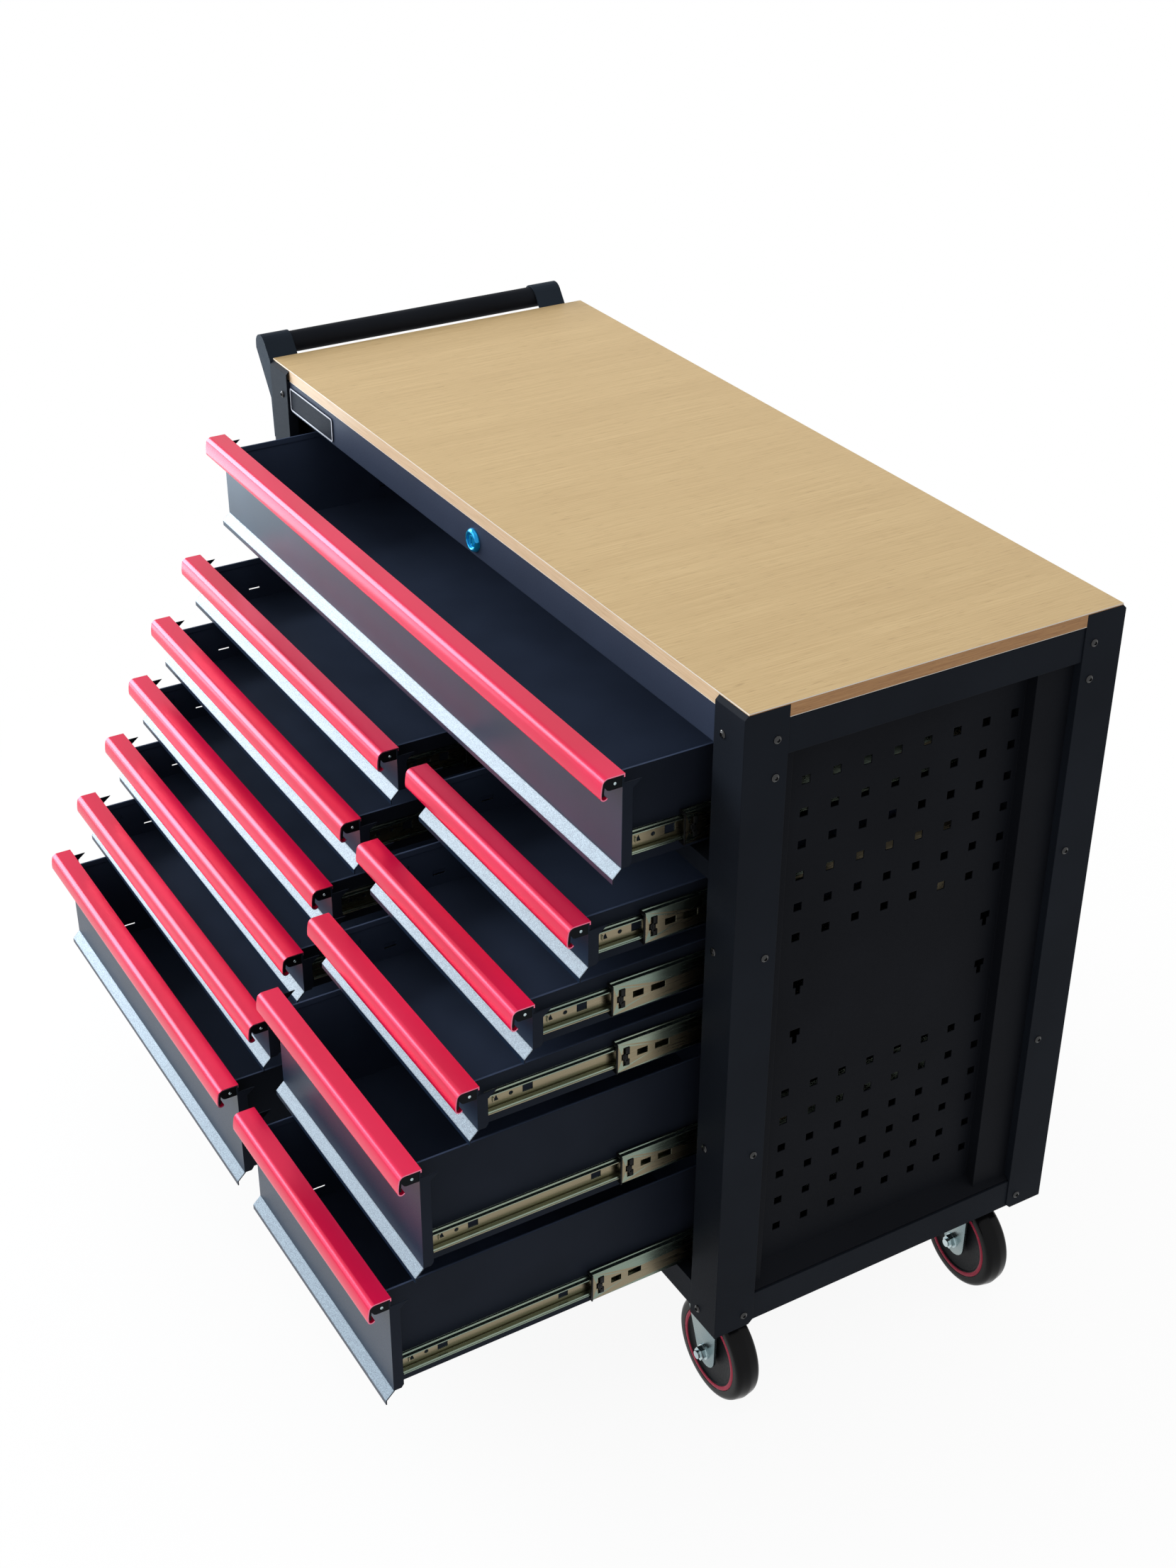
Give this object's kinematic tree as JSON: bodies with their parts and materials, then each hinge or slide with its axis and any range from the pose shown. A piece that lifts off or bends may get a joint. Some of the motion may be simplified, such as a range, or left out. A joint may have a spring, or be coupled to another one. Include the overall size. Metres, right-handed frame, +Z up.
{
  "type": "rolling tool chest",
  "caption": "Rolling tool chest with a wood worktop, sliding drawers in two columns under one wide drawer, perforated end panels, push handle and casters.",
  "frame": {"origin": "floor point under the middle of the overall box, drawers opened as stored", "axes": "+X to the right along the width, the push handle at -X; +Y to the back, the drawers open towards -Y; +Z up"},
  "size_m": [1.1545, 0.8668, 0.9619],
  "materials": {
    "laminate": "light oak laminate with fine straight grain, matt",
    "frame_black": "fine-texture black powder coat",
    "panel_black": "fine-texture black powder coat",
    "drawer_black": "smooth semi-gloss black paint",
    "pull_red": "red anodised, satin",
    "zinc": "bright zinc plated",
    "chrome": "polished",
    "badge_black": "gloss black, blank",
    "grip_black": "fine-texture black powder coat",
    "screw_black": "black zinc, satin",
    "caster_zinc": "bluish zinc plated",
    "tyre": "glossy black elastomer",
    "pedal_black": "moulded, matt"
  },
  "bodies": {
    "base": {"worktop": "laminate", "corner_posts": "frame_black", "side_panel_left": "panel_black", "side_panel_right": "panel_black", "back_panel": "panel_black", "top_frame": "frame_black", "inner_frame": "frame_black", "base_tray": "frame_black", "slide_outers": "zinc", "lock_body": "chrome", "badge_plate": "badge_black", "handle_brackets": "frame_black", "grip_tube": "grip_black", "screws": "screw_black", "caster_mounts": "caster_zinc"},
    "drawer_wide_body": {"drawer_wide": "drawer_black", "pull_wide": "pull_red"},
    "mid_wide_body": {"slide_mid_wide": "zinc"},
    "drawer_l1_body": {"drawer_l1": "drawer_black", "pull_l1": "pull_red"},
    "mid_l1_body": {"slide_mid_l1": "zinc"},
    "drawer_l2_body": {"drawer_l2": "drawer_black", "pull_l2": "pull_red"},
    "mid_l2_body": {"slide_mid_l2": "zinc"},
    "drawer_l3_body": {"drawer_l3": "drawer_black", "pull_l3": "pull_red"},
    "mid_l3_body": {"slide_mid_l3": "zinc"},
    "drawer_l4_body": {"drawer_l4": "drawer_black", "pull_l4": "pull_red"},
    "mid_l4_body": {"slide_mid_l4": "zinc"},
    "drawer_l5_body": {"drawer_l5": "drawer_black", "pull_l5": "pull_red"},
    "mid_l5_body": {"slide_mid_l5": "zinc"},
    "drawer_l6_body": {"drawer_l6": "drawer_black", "pull_l6": "pull_red"},
    "mid_l6_body": {"slide_mid_l6": "zinc"},
    "drawer_r1_body": {"drawer_r1": "drawer_black", "pull_r1": "pull_red"},
    "mid_r1_body": {"slide_mid_r1": "zinc"},
    "drawer_r2_body": {"drawer_r2": "drawer_black", "pull_r2": "pull_red"},
    "mid_r2_body": {"slide_mid_r2": "zinc"},
    "drawer_r3_body": {"drawer_r3": "drawer_black", "pull_r3": "pull_red"},
    "mid_r3_body": {"slide_mid_r3": "zinc"},
    "drawer_r4_body": {"drawer_r4": "drawer_black", "pull_r4": "pull_red"},
    "mid_r4_body": {"slide_mid_r4": "zinc"},
    "drawer_r5_body": {"drawer_r5": "drawer_black", "pull_r5": "pull_red"},
    "mid_r5_body": {"slide_mid_r5": "zinc"},
    "lock_core_body": {"lock_core": "chrome"},
    "swivel_fork_front_body": {"swivel_fork_front": "caster_zinc"},
    "brake_pedal_front_body": {"brake_pedal_front": "pedal_black"},
    "wheel_front_left_body": {"wheel_front_left": "tyre"},
    "wheel_front_right_body": {"wheel_front_right": "tyre"},
    "swivel_fork_rear_body": {"swivel_fork_rear": "caster_zinc"},
    "brake_pedal_rear_body": {"brake_pedal_rear": "pedal_black"},
    "wheel_rear_left_body": {"wheel_rear_left": "tyre"},
    "wheel_rear_right_body": {"wheel_rear_right": "tyre"}
  },
  "joints": [
    {"name": "drawer_wide_slide", "type": "slide", "parent": "base", "child": "drawer_wide_body", "axis": [0, -1, 0], "range_m": [-0.1004, 0.2996]},
    {"name": "slide_mid_wide_travel", "type": "slide", "parent": "base", "child": "mid_wide_body", "axis": [0, -1, 0], "range_m": [-0.03916, 0.11685]},
    {"name": "drawer_l1_slide", "type": "slide", "parent": "base", "child": "drawer_l1_body", "axis": [0, -1, 0], "range_m": [-0.1484, 0.2516]},
    {"name": "slide_mid_l1_travel", "type": "slide", "parent": "base", "child": "mid_l1_body", "axis": [0, -1, 0], "range_m": [-0.0742, 0.1258]},
    {"name": "drawer_l2_slide", "type": "slide", "parent": "base", "child": "drawer_l2_body", "axis": [0, -1, 0], "range_m": [-0.1983, 0.2017]},
    {"name": "slide_mid_l2_travel", "type": "slide", "parent": "base", "child": "mid_l2_body", "axis": [0, -1, 0], "range_m": [-0.09915, 0.10085]},
    {"name": "drawer_l3_slide", "type": "slide", "parent": "base", "child": "drawer_l3_body", "axis": [0, -1, 0], "range_m": [-0.2376, 0.1624]},
    {"name": "slide_mid_l3_travel", "type": "slide", "parent": "base", "child": "mid_l3_body", "axis": [0, -1, 0], "range_m": [-0.1188, 0.0812]},
    {"name": "drawer_l4_slide", "type": "slide", "parent": "base", "child": "drawer_l4_body", "axis": [0, -1, 0], "range_m": [-0.2789, 0.1211]},
    {"name": "slide_mid_l4_travel", "type": "slide", "parent": "base", "child": "mid_l4_body", "axis": [0, -1, 0], "range_m": [-0.12551, 0.0545]},
    {"name": "drawer_l5_slide", "type": "slide", "parent": "base", "child": "drawer_l5_body", "axis": [0, -1, 0], "range_m": [-0.3267, 0.0733]},
    {"name": "slide_mid_l5_travel", "type": "slide", "parent": "base", "child": "mid_l5_body", "axis": [0, -1, 0], "range_m": [-0.14702, 0.03299]},
    {"name": "drawer_l6_slide", "type": "slide", "parent": "base", "child": "drawer_l6_body", "axis": [0, -1, 0], "range_m": [-0.3713, 0.0287]},
    {"name": "slide_mid_l6_travel", "type": "slide", "parent": "base", "child": "mid_l6_body", "axis": [0, -1, 0], "range_m": [-0.14852, 0.01148]},
    {"name": "drawer_r1_slide", "type": "slide", "parent": "base", "child": "drawer_r1_body", "axis": [0, -1, 0], "range_m": [-0.1371, 0.2629]},
    {"name": "slide_mid_r1_travel", "type": "slide", "parent": "base", "child": "mid_r1_body", "axis": [0, -1, 0], "range_m": [-0.08363, 0.16037]},
    {"name": "drawer_r2_slide", "type": "slide", "parent": "base", "child": "drawer_r2_body", "axis": [0, -1, 0], "range_m": [-0.2005, 0.1995]},
    {"name": "slide_mid_r2_travel", "type": "slide", "parent": "base", "child": "mid_r2_body", "axis": [0, -1, 0], "range_m": [-0.1203, 0.1197]},
    {"name": "drawer_r3_slide", "type": "slide", "parent": "base", "child": "drawer_r3_body", "axis": [0, -1, 0], "range_m": [-0.2641, 0.1359]},
    {"name": "slide_mid_r3_travel", "type": "slide", "parent": "base", "child": "mid_r3_body", "axis": [0, -1, 0], "range_m": [-0.11356, 0.05844]},
    {"name": "drawer_r4_slide", "type": "slide", "parent": "base", "child": "drawer_r4_body", "axis": [0, -1, 0], "range_m": [-0.3308, 0.0692]},
    {"name": "slide_mid_r4_travel", "type": "slide", "parent": "base", "child": "mid_r4_body", "axis": [0, -1, 0], "range_m": [-0.10586, 0.02215]},
    {"name": "drawer_r5_slide", "type": "slide", "parent": "base", "child": "drawer_r5_body", "axis": [0, -1, 0], "range_m": [-0.3714, 0.0286]},
    {"name": "slide_mid_r5_travel", "type": "slide", "parent": "base", "child": "mid_r5_body", "axis": [0, -1, 0], "range_m": [-0.14113, 0.01087]},
    {"name": "lock_turn", "type": "hinge", "parent": "base", "child": "lock_core_body", "pos_m": [0.0248, -0.03745, 0.8997], "axis": [0, -1, 0], "range_deg": [0, 90]},
    {"name": "caster_front_swivel", "type": "hinge", "parent": "base", "child": "swivel_fork_front_body", "pos_m": [-0.4777, 0.00055, 0.146], "axis": [0, 0, 1], "continuous": true},
    {"name": "wheel_front_left_spin", "type": "hinge", "parent": "swivel_fork_front_body", "child": "wheel_front_left_body", "pos_m": [-0.4477, 0.00055, 0.065], "axis": [0, 1, 0], "continuous": true},
    {"name": "brake_front_press", "type": "hinge", "parent": "swivel_fork_front_body", "child": "brake_pedal_front_body", "pos_m": [-0.4897, 0.00055, 0.124], "axis": [0, -1, 0], "range_deg": [0, 25]},
    {"name": "wheel_front_right_spin", "type": "hinge", "parent": "base", "child": "wheel_front_right_body", "pos_m": [0.5193, 0.00055, 0.065], "axis": [0, 1, 0], "continuous": true},
    {"name": "caster_rear_swivel", "type": "hinge", "parent": "base", "child": "swivel_fork_rear_body", "pos_m": [-0.4777, 0.36655, 0.146], "axis": [0, 0, 1], "continuous": true},
    {"name": "wheel_rear_left_spin", "type": "hinge", "parent": "swivel_fork_rear_body", "child": "wheel_rear_left_body", "pos_m": [-0.4477, 0.36655, 0.065], "axis": [0, 1, 0], "continuous": true},
    {"name": "brake_rear_press", "type": "hinge", "parent": "swivel_fork_rear_body", "child": "brake_pedal_rear_body", "pos_m": [-0.4897, 0.36655, 0.124], "axis": [0, -1, 0], "range_deg": [0, 25]},
    {"name": "wheel_rear_right_spin", "type": "hinge", "parent": "base", "child": "wheel_rear_right_body", "pos_m": [0.5193, 0.36655, 0.065], "axis": [0, 1, 0], "continuous": true}
  ],
  "couplings": [
    {"joint": "slide_mid_wide_travel", "follows": "drawer_wide_slide", "ratio": 0.39},
    {"joint": "slide_mid_l1_travel", "follows": "drawer_l1_slide", "ratio": 0.5},
    {"joint": "slide_mid_l2_travel", "follows": "drawer_l2_slide", "ratio": 0.5},
    {"joint": "slide_mid_l3_travel", "follows": "drawer_l3_slide", "ratio": 0.5},
    {"joint": "slide_mid_l4_travel", "follows": "drawer_l4_slide", "ratio": 0.45},
    {"joint": "slide_mid_l5_travel", "follows": "drawer_l5_slide", "ratio": 0.45},
    {"joint": "slide_mid_l6_travel", "follows": "drawer_l6_slide", "ratio": 0.4},
    {"joint": "slide_mid_r1_travel", "follows": "drawer_r1_slide", "ratio": 0.61},
    {"joint": "slide_mid_r2_travel", "follows": "drawer_r2_slide", "ratio": 0.6},
    {"joint": "slide_mid_r3_travel", "follows": "drawer_r3_slide", "ratio": 0.43},
    {"joint": "slide_mid_r4_travel", "follows": "drawer_r4_slide", "ratio": 0.32},
    {"joint": "slide_mid_r5_travel", "follows": "drawer_r5_slide", "ratio": 0.38}
  ]
}
